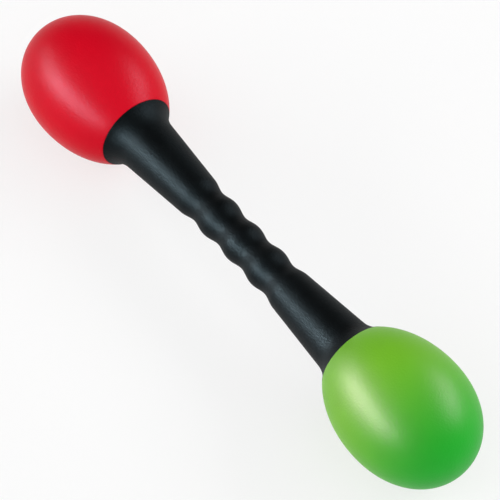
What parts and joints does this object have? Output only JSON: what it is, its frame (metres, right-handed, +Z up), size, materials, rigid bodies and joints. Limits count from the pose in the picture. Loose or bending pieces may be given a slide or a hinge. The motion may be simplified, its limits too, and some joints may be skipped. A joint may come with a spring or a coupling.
{
  "type": "double shaker",
  "caption": "Hand shaker with a hollow egg-shaped rattle on each end of a moulded handle with finger grooves; loose pellets swirl, roll and fly inside each egg.",
  "frame": {"origin": "on the table, under the middle of the grip", "axes": "+X along the handle to the green egg, +Z up; the shaker lies on its two eggs"},
  "size_m": [0.2304, 0.045, 0.045],
  "materials": {
    "handle_plastic": "black, satin, with a fine moulded grain",
    "red_plastic": "red, satin, with a fine eggshell grain",
    "green_plastic": "leaf green, satin, with a fine eggshell grain",
    "spigot_plastic": "natural, as moulded",
    "pellet_steel": "plain steel shot"
  },
  "bodies": {
    "shaker": {"handle": "handle_plastic", "red_shell": "red_plastic", "green_shell": "green_plastic", "red_spigot": "spigot_plastic", "green_spigot": "spigot_plastic"},
    "red_bed": {"red_bed_pellets": "pellet_steel"},
    "red_file": {"red_rolling_pellets": "pellet_steel"},
    "red_layer": {"red_thrown_pellets": "pellet_steel"},
    "green_bed": {"green_bed_pellets": "pellet_steel"},
    "green_file": {"green_rolling_pellets": "pellet_steel"},
    "green_layer": {"green_thrown_pellets": "pellet_steel"}
  },
  "joints": [
    {"name": "red_swirl", "type": "hinge", "parent": "shaker", "child": "red_bed", "pos_m": [-0.08641, 0, 0.0225], "axis": [1, 0, 0], "continuous": true},
    {"name": "red_roll", "type": "hinge", "parent": "red_bed", "child": "red_file", "pos_m": [-0.08641, 0, 0.03387], "axis": [0, 1, 0], "range_deg": [-32, 32]},
    {"name": "red_throw", "type": "slide", "parent": "red_bed", "child": "red_layer", "axis": [0, 0, 1], "range_m": [0, 0.0313]},
    {"name": "green_swirl", "type": "hinge", "parent": "shaker", "child": "green_bed", "pos_m": [0.08641, 0, 0.0225], "axis": [1, 0, 0], "continuous": true},
    {"name": "green_roll", "type": "hinge", "parent": "green_bed", "child": "green_file", "pos_m": [0.08641, 0, 0.03387], "axis": [0, 1, 0], "range_deg": [-32, 32]},
    {"name": "green_throw", "type": "slide", "parent": "green_bed", "child": "green_layer", "axis": [0, 0, 1], "range_m": [0, 0.0313]}
  ]
}
